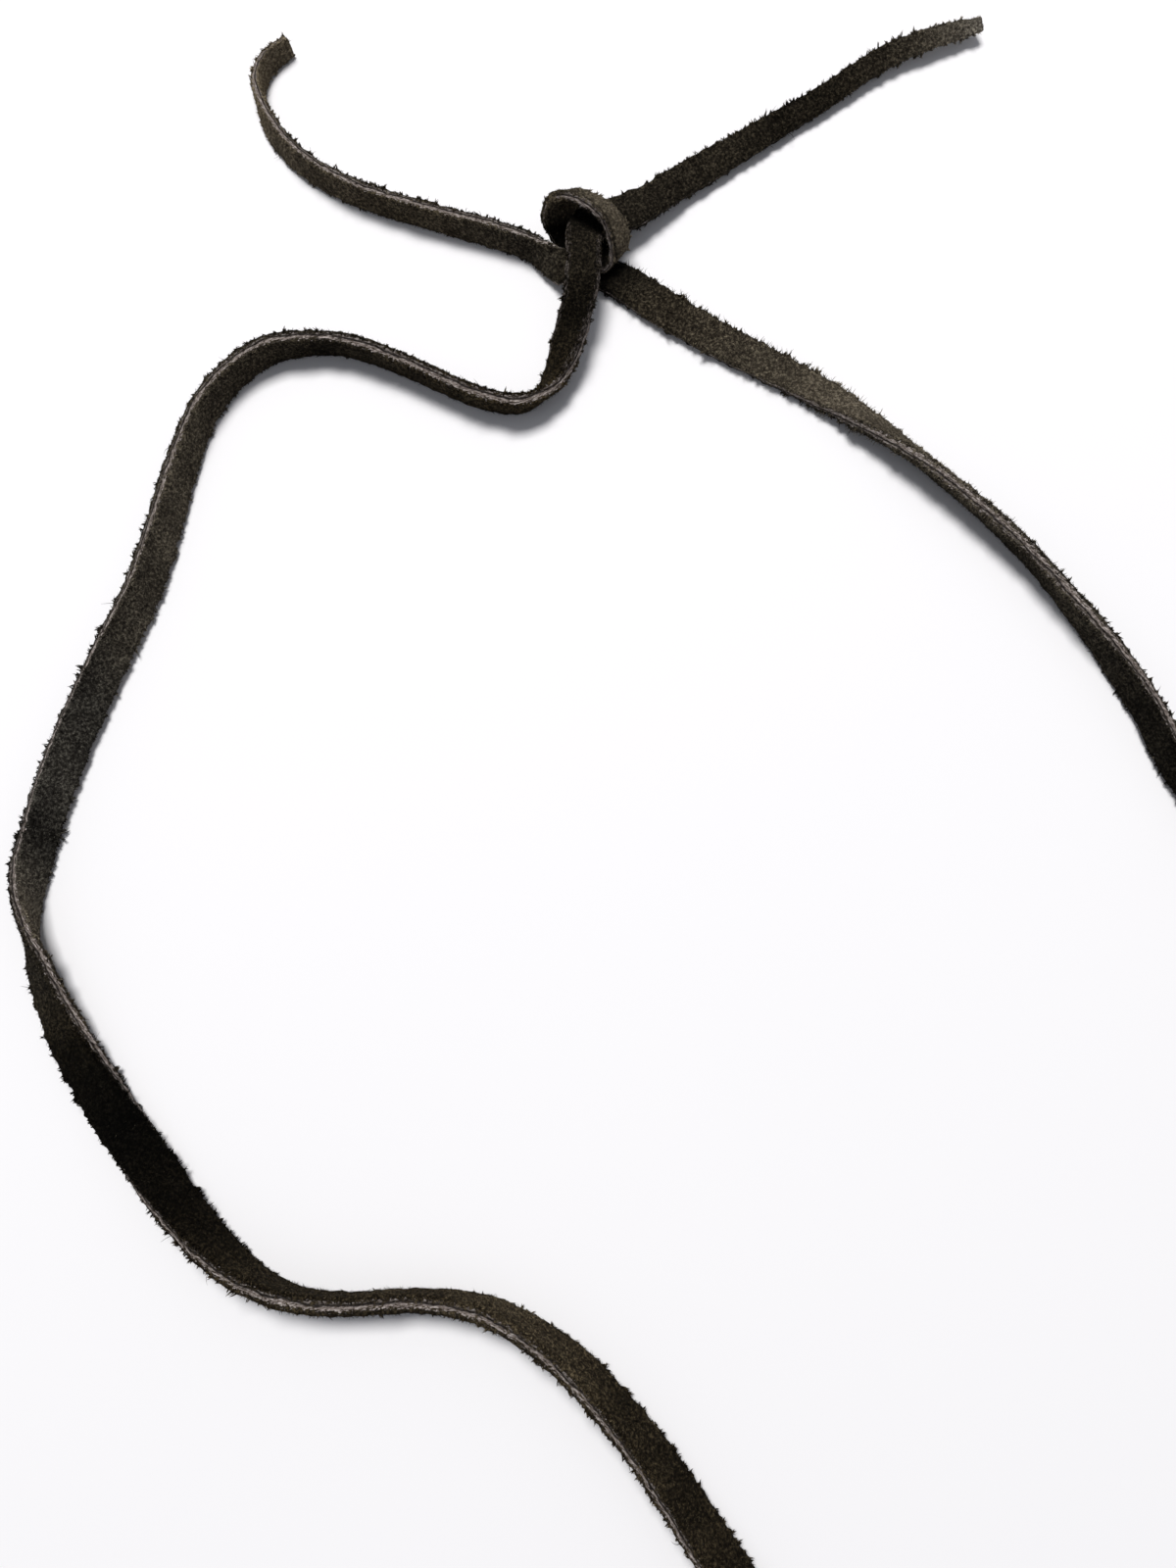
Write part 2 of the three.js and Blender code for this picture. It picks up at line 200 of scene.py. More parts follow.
def strip_outline(count):
    """Points round a strip with rounded corners, evenly spaced, from the middle of its first face by edge 2, the
    second face and edge 1: straight sides joined by quarter circles.  Also each one's part of the way round."""
    turn = np.linspace(0, np.pi / 2, 16)
    half, deep = WIDTH / 2 - CORNER, THICKNESS / 2 - CORNER
    corners = [(half, -deep, -np.pi / 2), (half, deep, 0), (-half, deep, np.pi / 2), (-half, -deep, np.pi)]
    outline = np.concatenate(
        [[(0, -THICKNESS / 2)]]
        + [np.column_stack([x + CORNER * np.cos(a + turn), y + CORNER * np.sin(a + turn)]) for x, y, a in corners]
        + [[(0, -THICKNESS / 2)]])
    length = np.append(0, np.cumsum(np.linalg.norm(np.diff(outline, axis=0), axis=1)))
    part = np.arange(count) / count
    return np.column_stack([np.interp(part * length[-1], length, side) for side in outline.T]), part, length[-1]


section, round_part, round_length = strip_outline(AROUND)
round_at = round_part * round_length
to_core = np.abs(section[:, 1]) + (WIDTH / 2 - np.abs(section[:, 0]))    # from the middle line of an edge


def lumps(rng, along, around, cell_along, cell_around):
    """Smooth random heights from -1 to 1 over the lace's skin: random numbers on a lattice of that cell size,
    with a smooth step from one to the next.  The lattice closes round the lace."""
    cells = max(round(round_length / cell_around), 1)
    lattice = rng.uniform(-1, 1, (int(lace_length / cell_along) + 2, cells))
    u, v = along / cell_along, around / round_length * cells
    i, j = u.astype(int), v.astype(int)
    s, t = ((f * f * (3 - 2 * f)) for f in (u - i, v - j))
    return ((lattice[i, j % cells] * (1 - t) + lattice[i, (j + 1) % cells] * t) * (1 - s)
            + (lattice[i + 1, j % cells] * (1 - t) + lattice[i + 1, (j + 1) % cells] * t) * s)


rng = np.random.default_rng(7)
along, around = np.broadcast_arrays(run[:, None], round_at[None, :])
plain_skin = (middle[:, None] + across[:, None] * section[None, :, :1] + depth[:, None] * section[None, :, 1:])
outwards = unit(np.cross(np.gradient(plain_skin, axis=0), np.roll(plain_skin, -1, 1) - np.roll(plain_skin, 1, 1)))
outwards *= np.sign(np.sum(outwards * (plain_skin - middle[:, None]), axis=-1).mean())
corner_mark = np.exp(-((to_core - (THICKNESS / 2 - CORNER + 0.1)) / 0.28) ** 2)[None, :]


KNOT_TOP = (553, 564)                       # where the lace passes over the top of the knot
GROOVE_AT, GROOVE_WIDTH = 1.5, 0.28         # round the section, from the middle of the first face
FOLD_AT, FOLD_HEIGHT = 571, 0.6             # of the folds squeezed out beside the curl


def rolled_margin(run_mm, around_mm):
    """Over the knot the first face's margin has rolled, which leaves a groove along edge 2: a bell curve across
    the lace, as far along it as the knot's top goes."""
    on_top = np.clip(np.minimum(run_mm - KNOT_TOP[0], KNOT_TOP[1] - run_mm), 0, 1)
    return np.exp(-((around_mm - GROOVE_AT) / GROOVE_WIDTH) ** 2) * on_top


# How far the skin stands out of the plain strip: clumps of nap, soft unevenness, lumps at the cut corners, which
# are ragged beside the knot, the rolled margin's groove, and the folds squeezed out beside the curl.
ragged = np.interp(along, [478, 484, 548, 552], [0.22, 0.5, 0.5, 0.22])
proud = (0.07 * lumps(rng, along, around, 0.7, 0.6) + 0.06 * lumps(rng, along, around, 0.36, 0.33)
         + 0.05 * lumps(rng, along, around, 5.0, 2.0)
         + corner_mark * ragged * (np.maximum(lumps(rng, along, around, 0.7, 0.5), 0) ** 1.3 - 0.1)
         - 0.25 * rolled_margin(along, around)
         + FOLD_HEIGHT * np.exp(-((along - FOLD_AT) / 1.8) ** 2 - ((to_core - 0.1) / 0.6) ** 2))
skin = plain_skin + outwards * proud[..., None]
skin[..., 2] = np.maximum(skin[..., 2], TABLE_CLEARANCE)


def closed_ends(grid):
    """The grid of rings, with two smaller rings inside each end's last one, and the middle point of each end."""
    tips = grid[[0, -1]].mean(1)
    start = [grid[0] * k + tips[0] * (1 - k) for k in (0.3, 0.7)]
    end = [grid[-1] * k + tips[1] * (1 - k) for k in (0.7, 0.3)]
    return np.concatenate([start, grid, end]), tips


def tube_faces(rings, count):
    """Quads between neighbouring points of neighbouring rings, and triangles from each end's middle point."""
    i, j = (x.ravel() for x in np.meshgrid(np.arange(rings - 1), np.arange(count), indexing="ij"))
    k = (j + 1) % count
    quads = np.column_stack([i * count + j, i * count + k, (i + 1) * count + k, (i + 1) * count + j])
    j, k, last = np.arange(count), (np.arange(count) + 1) % count, (rings - 1) * count
    start = np.column_stack([np.full(count, rings * count), k, j])
    end = np.column_stack([np.full(count, rings * count + 1), last + j, last + k])
    return quads, np.concatenate([start, end])


def new_piece(name, points, quads, triangles):
    """A smooth mesh object of those faces, with its place in its mesh, in metres."""
    mesh = bpy.data.meshes.new(name)
    mesh.vertices.add(len(points))
    mesh.vertices.foreach_set("co", (np.asarray(points) * MM).astype(np.float32).ravel())
    corners = np.concatenate([quads.ravel(), triangles.ravel()]).astype(np.int32)
    starts = np.concatenate([np.arange(len(quads)) * 4, quads.size + np.arange(len(triangles)) * 3])
    mesh.loops.add(len(corners))
    mesh.loops.foreach_set("vertex_index", corners)
    mesh.polygons.add(len(starts))
    mesh.polygons.foreach_set("loop_start", starts.astype(np.int32))
    mesh.polygons.foreach_set("use_smooth", np.ones(len(starts), bool))
    mesh.update(calc_edges=True)
    piece = bpy.data.objects.new(name, mesh)
    bpy.context.scene.collection.objects.link(piece)
    return piece


def mark(piece, name, values):
    """A number, or a row of three, at each point of the piece, for its material to read."""
    kind, field = ("FLOAT", "value") if values.ndim == 1 else ("FLOAT_VECTOR", "vector")
    piece.data.attributes.new(name, kind, "POINT").data.foreach_set(field, values.astype(np.float32).ravel())


def lay_out(piece, places):
    """The piece's own flat map, a place in the unit square for each corner of each face."""
    flat = piece.data.uv_layers.new(name="OFBake")
    flat.uv.foreach_set("vector", places.astype(np.float32).ravel())


rings, tips = closed_ends(skin)
quads, fans = tube_faces(len(rings), AROUND)
lace = new_piece("suede_lace", np.concatenate([rings.reshape(-1, 3), tips]), quads, fans)

# The skin's flat map: the long strip is cut into as many rows as make the unit square evenly fine.
FOLDS = 7
to_row = -(-len(rings) // FOLDS)
ring, spot = quads[:, 0] // AROUND, quads[:, 0] % AROUND
fan_ring = np.repeat([0, len(rings) - 1], AROUND)
fan_spot = np.tile(np.arange(AROUND), 2)
fan_inner = fan_ring - np.where(fan_ring > 0, -1, 1)
corner_ring = np.concatenate([
    np.column_stack([ring, ring, ring + 1, ring + 1]).ravel(),
    np.column_stack([fan_inner, fan_ring, fan_ring]).ravel()])
corner_spot = np.concatenate([
    np.column_stack([spot, spot + 1, spot + 1, spot]).ravel(),
    np.column_stack([fan_spot, fan_spot + (fan_ring == 0), fan_spot + (fan_ring > 0)]).ravel()])
fold = np.concatenate([np.repeat(ring // to_row, 4), np.repeat(fan_ring // to_row, 3)])
lay_out(lace, np.column_stack([(corner_ring - fold * to_row + 2) / (to_row + 4),
                               (fold + 0.01 + 0.98 * corner_spot / AROUND) / FOLDS]))

# How pale the raw core shows along the lace: dye has run over the edges of the first tail, and the core shows
# little at the knot's left curl and at the tips.
PALE = [(0, 0.0), (50, 0.1), (56, 0.5), (58, 1.0), (72, 1.0), (110, 0.8), (185, 0.8), (192, 0.95),
        (225, 0.7), (290, 0.7), (300, 1.0), (455, 1.0), (505, 0.9), (518, 0.6), (536, 0.3),
        (552.3, 0.1), (553.6, 1.1), (563, 1.1), (566, 0.9), (612, 1.0), (620, 0.8), (624, 0.2)]

# How the nap's colour goes: mm along the lace, how light its first face, how light its second, and how warm.  Dye
# took unevenly and handling rubbed the nap one way or the other; over that, light and shade are painted in: lit
# and shaded stretches by how each faces the light, painted shade in the knot's hollows and under its top, and a
# painted shadow at about 196 to 216 mm.
NAP_DYE_AND_PAINTED_LIGHT = [(0, 7.0, 7.0, -0.6), (8, 1.9, 1.9, 0.0), (20, 0.6, 1.0, 0.5), (48, 0.9, 1.0, 0.2),
             (55.6, 0.1, 0.1, 0.2), (57, 0.18, 0.1, 0.2), (57.6, 0.65, 0.8, 0.3), (68, 0.18, 0.9, 0.7),
             (76, 0.6, 0.9, 1.3), (104, 0.6, 0.55, 0.4), (114, 0.8, 1.7, 0.2), (124, 0.8, 2.0, 0.1),
             (134, 0.8, 2.8, 0.0), (150, 0.8, 1.8, -0.2), (157, 0.7, 1.25, -0.7), (165, 0.7, 2.0, -0.7),
             (173, 0.7, 0.9, -0.7), (182, 0.7, 4.7, -0.1), (188, 0.8, 1.5, 0.2), (196, 0.13, 0.8, 1.0),
             (205, 0.05, 0.7, 0.0), (216, 0.13, 0.8, 1.2), (230, 0.7, 0.8, 1.0), (254, 1.7, 0.9, 0.8),
             (264, 0.7, 0.9, 1.1), (280, 0.55, 0.9, 1.1), (440, 0.5, 0.9, 0.3), (456, 0.24, 0.9, 0.1),
             (468, 0.6, 1.2, 0.0), (476, 1.6, 1.5, 0.0), (484, 1.3, 2.0, 0.0), (508, 0.9, 4.5, 0.0),
             (520, 0.9, 2.3, 0.1), (533, 0.7, 1.25, 0.4), (538.5, 0.3, 0.22, 0.3), (540.5, 0.1, 0.07, 0.2),
             (548.2, 0.6, 0.06, 0.3), (549.2, 0.9, 1.3, 0.3), (550.5, 1.0, 3.6, 0.4), (552, 1.1, 2.6, 0.6),
             (553.5, 1.8, 1.0, 0.3), (555.5, 3.6, 0.12, 0.1), (563, 3.8, 0.12, 0.2), (566, 0.3, 0.13, 0.2),
             (568, 0.4, 0.27, 0.5), (571, 0.7, 1.2, 0.0), (580, 0.8, 1.9, 0.2), (590, 0.8, 1.4, 0.5),
             (608, 1.2, 3.5, 0.2), (616, 4.8, 4.8, 0.5), (622, 4.2, 4.2, 0.3)]


def nap_dye_and_painted_light(run_mm, around_mm):
    """What the nap's colour is multiplied by there, in red, green and blue: the nap's dye and the painted light
    and shade of the face that is nearer, with a soft step at the edges, redder and less blue where it is warm.  On
    the second face the changes lie aslant, further back at edge 1 and further on at edge 2, so that the painted
    shade in the knot's hollow ends on a slant.  In the rolled margin's groove the light is cut nearly to black, a
    painted shade."""
    places, first, second, warm = (np.array(column) for column in zip(*NAP_DYE_AND_PAINTED_LIGHT))
    turned = 2 * np.pi * around_mm / round_length
    on_second = np.clip(0.5 - np.cos(turned), 0, 1)
    run_mm = run_mm - 1.2 * np.sin(turned) * on_second
    light = np.interp(run_mm, places, first) * (1 - on_second) + np.interp(run_mm, places, second) * on_second
    # Painted shade in the rolled margin's groove: the light there is cut nearly to black.
    light = light * (1 - 0.97 * rolled_margin(run_mm, around_mm))
    warm = np.interp(run_mm, places, warm)
    return light[..., None] * np.stack([1 + 0.11 * warm, 1 + 0 * warm, 1 - 0.2 * warm], axis=-1)


ring_run = np.concatenate([[0, 0], run, [lace_length, lace_length]])
mark(lace, "depth", np.append(np.broadcast_to(section[:, 1], (len(rings), AROUND)), [9, 9]))
mark(lace, "run", np.append(np.repeat(ring_run, AROUND), [0, lace_length]))
mark(lace, "round", np.append(np.broadcast_to(round_at, (len(rings), AROUND)), [0, 0]))
mark(lace, "pale", np.append(np.repeat(np.interp(ring_run, *zip(*PALE)), AROUND), [0, 0]))
# The shade mark holds the nap's dye and the painted light and shade along the lace.
shade = nap_dye_and_painted_light(*np.broadcast_arrays(ring_run[:, None], round_at[None, :]))
mark(lace, "shade", np.append(shade.reshape(-1, 3), np.ones((2, 3)), axis=0))


def linear(hex_colour):
    """The linear colour of an sRGB hex value: c / 12.92 up to 0.04045, else ((c + 0.055) / 1.055) ** 2.4."""
    c = np.array([int(hex_colour[k:k + 2], 16) for k in (1, 3, 5)]) / 255
    return (*np.where(c <= 0.04045, c / 12.92, ((c + 0.055) / 1.055) ** 2.4), 1.0)


def node(tree, kind, inputs=None, colours=(), **settings):
    """Adds a shader node with these properties, and a ramp's evenly spaced colours.  Each input gets a plain value
    or another node's socket."""
    made = tree.nodes.new(kind)
    for k in range(1, len(colours) - 1):
        made.color_ramp.elements.new(k / (len(colours) - 1))
    for k, colour in enumerate(colours):
        made.color_ramp.elements[k].color = linear(colour)
    for name, value in settings.items():
        setattr(made, name, value)
    for socket, value in (inputs or {}).items():
        if isinstance(value, bpy.types.NodeSocket):
            tree.links.new(value, made.inputs[socket])
        else:
            made.inputs[socket].default_value = value
    return made


def finish(name, **sockets):
    """A new material, its node tree and its Principled shader, with these sockets set."""
    made = bpy.data.materials.new(name)
    made.use_nodes = True
    tree = made.node_tree
    tree.nodes.clear()
    shader = tree.nodes.new("ShaderNodeBsdfPrincipled")
    tree.links.new(shader.outputs["BSDF"], tree.nodes.new("ShaderNodeOutputMaterial").inputs["Surface"])
    for socket, value in sockets.items():
        shader.inputs[socket.replace("_", " ")].default_value = value
    return made, tree, shader


# Suede: split leather whose fibres are raised to a nap.  It scatters light softly, with no gloss, has a faint
# bright rim, and is mottled where the nap lies one way or the other.
SUEDE = dict(Roughness=0.95, Specular_IOR_Level=0.04, Sheen_Weight=0.03, Sheen_Roughness=0.4,
             Sheen_Tint=linear("#9c9684"))
NAP = ("#080604", "#26221c", "#665f51")         # in its hollows, on the whole, and where it catches the light
CORE = ("#2b2522", "#91857d", "#dbd1cb")        # the raw core between its fibres, and on them
CLUMP, FIBRE, PATCH = 0.32 * MM, 0.12 * MM, 5 * MM


def times_dye_and_painted_light(tree, colour):
    """The colour times the shade mark there: the nap's dye and the painted light and shade."""
    shade = node(tree, "ShaderNodeAttribute", attribute_name="shade").outputs["Vector"]
    return node(tree, "ShaderNodeVectorMath", {0: colour, 1: shade}, operation="MULTIPLY").outputs[0]


def nap_tone(tree):
    """How light the nap is: clumps of fibres, single fibres and patches, added up, and evener where the
    shade mark's dye and painted light are high.
    Also its height and its clumps."""
    where = node(tree, "ShaderNodeTexCoord").outputs["Object"]
    clumps = node(tree, "ShaderNodeTexNoise", {"Vector": where, "Scale": 1 / CLUMP, "Detail": 3.0,
                                               "Roughness": 0.65})
    fibres = node(tree, "ShaderNodeTexNoise", {"Vector": where, "Scale": 1 / FIBRE, "Detail": 2.0,
                                               "Distortion": 1.5})
    patches = node(tree, "ShaderNodeTexNoise", {"Vector": where, "Scale": 1 / PATCH, "Detail": 2.0})
    fine = node(tree, "ShaderNodeMath", {0: clumps.outputs["Fac"], 1: 1.4, 2: fibres.outputs["Fac"]},
                operation="MULTIPLY_ADD").outputs[0]
    tone = node(tree, "ShaderNodeMath", {0: patches.outputs["Fac"], 1: 0.35, 2: fine}, operation="MULTIPLY_ADD")
    tone = node(tree, "ShaderNodeMapRange", {"Value": tone.outputs[0], "From Min": 0.94, "From Max": 1.8})
    shade = node(tree, "ShaderNodeAttribute", attribute_name="shade").outputs["Vector"]
    shade = node(tree, "ShaderNodeVectorMath", {0: shade}, operation="LENGTH").outputs["Value"]
    grip = node(tree, "ShaderNodeMapRange", {"Value": shade, "From Min": 0.5, "From Max": 6.0,
                                             "To Min": 1.4, "To Max": 0.65})
    tone = node(tree, "ShaderNodeMath", {0: tone.outputs["Result"], 1: 0.55}, operation="SUBTRACT").outputs[0]
    tone = node(tree, "ShaderNodeMath", {0: tone, 1: grip.outputs["Result"], 2: 0.55}, operation="MULTIPLY_ADD")
    return tone.outputs[0], fine, clumps.outputs["Fac"]


suede, tree, shader = finish("suede_split_leather", **SUEDE)
tone, height, clumps = nap_tone(tree)
skin_nap = times_dye_and_painted_light(tree, node(tree, "ShaderNodeValToRGB", {"Fac": tone}, NAP).outputs["Color"])
depth, run_mark, round_mark, pale = (node(tree, "ShaderNodeAttribute", attribute_name=name).outputs["Fac"]
                                     for name in ("depth", "run", "round", "pale"))
from_core = node(tree, "ShaderNodeMath", {0: depth}, operation="ABSOLUTE").outputs[0]
# Bundles of core fibres lie aslant, like the strands of a rope, half a millimetre long and a fifth of that thick.
bundle_place = node(tree, "ShaderNodeMath", {0: round_mark, 1: 1.2, 2: run_mark},
                    operation="MULTIPLY_ADD").outputs[0]
bundle_place = node(tree, "ShaderNodeCombineXYZ", {"X": bundle_place, "Y": round_mark}).outputs[0]
bundle_place = node(tree, "ShaderNodeVectorMath", {0: bundle_place, 1: (1.9, 5.5, 1.0)},
                    operation="MULTIPLY").outputs[0]
bundles = node(tree, "ShaderNodeTexNoise", {"Vector": bundle_place, "Scale": 1.0, "Detail": 3.0, "Roughness": 0.7,
                                            "Distortion": 0.5}).outputs["Fac"]
core_tone = node(tree, "ShaderNodeMapRange", {"Value": bundles, "From Min": 0.36,
                                              "From Max": 0.66}).outputs["Result"]
core = node(tree, "ShaderNodeValToRGB", {"Fac": core_tone}, CORE).outputs["Color"]
# A furrow wanders along the middle of the cut edge, between a dim ridge and a bright one; it is a dip in the
# bump, darkened by painted shade.
wander = node(tree, "ShaderNodeTexNoise", {"W": run_mark, "Scale": 0.35, "Detail": 2.0},
              noise_dimensions="1D").outputs["Fac"]
furrow = node(tree, "ShaderNodeMath", {0: wander, 1: 0.5, 2: depth}, operation="MULTIPLY_ADD").outputs[0]
furrow = node(tree, "ShaderNodeMath", {0: furrow, 1: 0.1}, operation="SUBTRACT").outputs[0]
dim_side = node(tree, "ShaderNodeMapRange", {"Value": furrow, "From Min": -0.1, "From Max": 0.1,
                                             "To Min": 0.65}).outputs["Result"]
furrow = node(tree, "ShaderNodeMath", {0: furrow}, operation="ABSOLUTE").outputs[0]
furrow = node(tree, "ShaderNodeMapRange", {"Value": furrow, "From Min": 0.05, "From Max": 0.2,
                                           "To Min": 0.1}).outputs[0]
core_light = node(tree, "ShaderNodeMath", {0: furrow, 1: dim_side}, operation="MULTIPLY").outputs[0]
core = node(tree, "ShaderNodeVectorMath", {0: core, "Scale": core_light}, operation="SCALE").outputs[0]
reach = node(tree, "ShaderNodeMapRange", {"Value": bundles, "From Min": 0.38, "From Max": 0.6, "To Min": 0.25,
                                          "To Max": 0.65}).outputs["Result"]
reach = node(tree, "ShaderNodeMath", {0: pale, 1: reach}, operation="MULTIPLY").outputs[0]
fray = node(tree, "ShaderNodeMath", {0: clumps, 1: 0.5}, operation="SUBTRACT").outputs[0]
fray = node(tree, "ShaderNodeMath", {0: fray, 1: 1.5, 2: from_core}, operation="MULTIPLY_ADD").outputs[0]
core_part = node(tree, "ShaderNodeMath", {0: reach, 1: fray}, operation="SUBTRACT").outputs[0]
core_part = node(tree, "ShaderNodeMapRange", {"Value": core_part, "From Min": 0.0,
                                              "From Max": 0.12}).outputs["Result"]
skin_colour = node(tree, "ShaderNodeMix", {"Factor": core_part}, data_type="RGBA")
tree.links.new(skin_nap, skin_colour.inputs[6])
tree.links.new(core, skin_colour.inputs[7])
tree.links.new(skin_colour.outputs[2], shader.inputs["Base Color"])
height = node(tree, "ShaderNodeMath", {0: furrow, 1: 0.4, 2: height}, operation="MULTIPLY_ADD").outputs[0]
bump = node(tree, "ShaderNodeBump", {"Height": height, "Distance": 0.22 * MM, "Strength": 1.0})
tree.links.new(bump.outputs["Normal"], shader.inputs["Normal"])

lace.data.materials.append(suede)
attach(lace, "root")
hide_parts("lace")

# ---- The nap ---------------------------------------------------------------------------------------------
# Short fibres raised on both faces by buffing, mostly lying over in no one direction.  Each is a closed
# three-sided spike, rooted in the skin, since one that is a hair's width at true size is still seen as grain.


def on_skin(grid, at, turn):
    """The grid's value at fractional ring and point numbers: the mean of the four nearest, by closeness."""
    i, j = np.minimum(at.astype(int), len(grid) - 2), turn.astype(int)
    s, t = (at - i)[:, None], (turn - j)[:, None]
    j, k = j % AROUND, (j + 1) % AROUND
    return (grid[i, j] * (1 - t) + grid[i, k] * t) * (1 - s) + (grid[i + 1, j] * (1 - t) + grid[i + 1, k] * t) * s


along_skin = np.gradient(skin, axis=0)


def roots(at, turn):
    """Place, outward normal, and the ways ahead and across the skin, at fractional ring and point numbers."""
    out = unit(on_skin(outwards, at, turn))
    forward = on_skin(along_skin, at, turn)
    forward = unit(forward - out * np.sum(forward * out, 1, keepdims=True))
    return on_skin(skin, at, turn), out, forward, np.cross(out, forward)


LOWEST_FIBRE, LOWEST_SIDE = 0.05, 0.01      # over the table, of a fibre's middle line and of its sides


def spikes(name, root, lean, bend, length, thick, shade, joints=0):
    """Closed three-sided spikes: a triangle sunk in the skin, as many smaller ones as joints, and a tip.  The
    line of each starts along lean and turns evenly towards lean + bend."""
    levels = np.linspace(0, 1, joints + 2)
    steps = [unit(lean + bend * (a + b) / 2) * (b - a) * length[:, None] for a, b in zip(levels[:-1], levels[1:])]
    sunk = root - unit(lean) * thick[:, None] * 0.7
    line = np.stack([sunk, *(root + sum(steps[:k + 1]) for k in range(joints + 1))], 1)
    clear = line[:, 1:, 2].min(1) > LOWEST_FIBRE             # a fibre that would go into the table is rubbed off
    line, lean, thick, shade = line[clear], unit(lean[clear]), thick[clear], shade[clear]
    count = len(line)
    side = unit(np.cross(lean, rng.normal(size=(count, 3))))
    other = np.cross(lean, side)
    turn = np.arange(3) * 2 * np.pi / 3
    ring = side[:, None] * np.cos(turn)[:, None] + other[:, None] * np.sin(turn)[:, None]
    widths = thick[:, None] / 2 * (1 - 0.75 * levels[:-1])
    body = line[:, :-1, None] + ring[:, None] * widths[:, :, None, None]
    points = np.concatenate([body.reshape(count, -1, 3), line[:, -1:]], 1)
    points[..., 2] = np.maximum(points[..., 2], LOWEST_SIDE)   # and a thick one is flattened by it
    each = points.shape[1]
    first = (np.arange(count) * each)[:, None, None]
    sides = np.array([(3 * n + a, 3 * n + b, 3 * n + 3 + b, 3 * n + 3 + a)
                      for n in range(joints) for a, b in ((0, 1), (1, 2), (2, 0))], int).reshape(-1, 4)
    ends = np.array([(0, 2, 1)] + [(3 * joints + a, 3 * joints + b, each - 1)
                                   for a, b in ((0, 1), (1, 2), (2, 0))])
    quads, triangles = (first + sides).reshape(-1, 4), (first + ends).reshape(-1, 3)
    piece = new_piece(name, points.reshape(-1, 3), quads, triangles)
    height = np.append(np.repeat(levels[:-1], 3), 1.0)
    mark(piece, "tip", np.tile(height, count))
    # Each fibre's shade mark; for the nap, tufts and loose fibres it holds the skin's dye and painted light.
    mark(piece, "shade", np.repeat(shade, each, axis=0))
    # Its flat map is a grid of cells, one for each spike, whose faces lie over each other with the tip up.
    cells = int(np.ceil(np.sqrt(count)))
    corner = np.concatenate([quads.ravel(), triangles.ravel()])
    cell, point = corner // each, corner % each
    wide = 0.1 + 0.4 * (point % 3) * (point < each - 1) + 0.4 * (point == each - 1)
    lay_out(piece, np.column_stack([cell % cells + wide, cell // cells + 0.1 + 0.8 * height[point]]) / cells)
    return piece


def fibre_finish(name, colours, shadow):
    """Fibres of those colours in the skin's own mottling, darker by painted shadow at their roots, times the
    shade mark's dye and painted light.
    """
    made, tree, shader = finish(name, **SUEDE)
    tip = node(tree, "ShaderNodeAttribute", attribute_name="tip").outputs["Fac"]
    tone = nap_tone(tree)[0]
    tone = node(tree, "ShaderNodeMath", {0: tip, 1: shadow, 2: tone}, operation="MULTIPLY_ADD").outputs[0]
    tone = node(tree, "ShaderNodeMath", {0: tone, 1: shadow / 2}, operation="SUBTRACT").outputs[0]
    colour = node(tree, "ShaderNodeValToRGB", {"Fac": tone}, colours).outputs["Color"]
    tree.links.new(times_dye_and_painted_light(tree, colour), shader.inputs["Base Color"])
    return made


def fibre_dye_and_painted_light(at, turn):
    """The skin's dye and painted light and shade at each fibre, lighter or darker by chance.  A few have taken no
    dye.
    """
    chance = rng.random((2, len(at), 1))
    shade = nap_dye_and_painted_light(at * RING_STEP, turn / AROUND * round_length)
    return shade * (0.7 + 0.6 * chance[0]) + 0.9 * chance[1] ** 10


def finished(piece, material):
    """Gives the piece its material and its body."""
    piece.data.materials.append(material)
    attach(piece, "root")


NAP_FIBRES = 46000
face_spots = np.flatnonzero(to_core > THICKNESS / 2 - 0.25)
at = rng.uniform(0, len(run) - 1, NAP_FIBRES)
turn = (rng.choice(face_spots, NAP_FIBRES) + rng.uniform(-0.5, 0.5, NAP_FIBRES)) % AROUND
root, out, forward, sideways = roots(at, turn)
way = rng.uniform(0, 2 * np.pi, (NAP_FIBRES, 1))
flat_way = forward * np.cos(way) + sideways * np.sin(way)
nap = spikes("nap", root, flat_way + out * rng.uniform(0.3, 1.0, (NAP_FIBRES, 1)), -out * 0.3,
             rng.uniform(0.25, 0.55, NAP_FIBRES), rng.uniform(0.05, 0.1, NAP_FIBRES), fibre_dye_and_painted_light(at, turn))
nap_suede = fibre_finish("raised_nap", NAP, 0.4)
finished(nap, nap_suede)

# ---- The ragged corners ----------------------------------------------------------------------------------
# Where the lace was cut, fibres stand out along all four long corners in tufts of uneven length.  They give it
# its furry outline.

TUFTS, FIBRES_IN_TUFT = 4800, 4
corner_turns = np.array([np.argmin(np.abs(section - np.array(c) * (WIDTH / 2, THICKNESS / 2)).sum(1))
                         for c in ((1, 1), (1, -1), (-1, 1), (-1, -1))])
at = rng.uniform(0, len(run) - 1, TUFTS)
turn = corner_turns[rng.integers(0, 4, TUFTS)].astype(float)
root, out, forward, sideways = roots(at, turn)
way = rng.normal(0, 0.6, (2, TUFTS, 1))
rough = 0.9 + 0.5 * lumps(rng, at * RING_STEP, turn / AROUND * round_length, 9.0, 3.0)
size = (0.1 + 0.2 * rng.random(TUFTS) + 0.4 * rng.random(TUFTS) ** 4) * rough
tuft_tip = root + unit(out + forward * way[0] + sideways * way[1] * 0.6) * size[:, None]
at = np.clip(np.repeat(at, FIBRES_IN_TUFT) + rng.normal(0, 0.4, TUFTS * FIBRES_IN_TUFT), 0, len(run) - 1)
turn = (np.repeat(turn, FIBRES_IN_TUFT) + rng.normal(0, 0.6, len(at))) % AROUND
root, out, forward, sideways = roots(at, turn)
reach_to = np.repeat(tuft_tip, FIBRES_IN_TUFT, 0) + rng.normal(0, 0.1, (len(at), 3)) - root
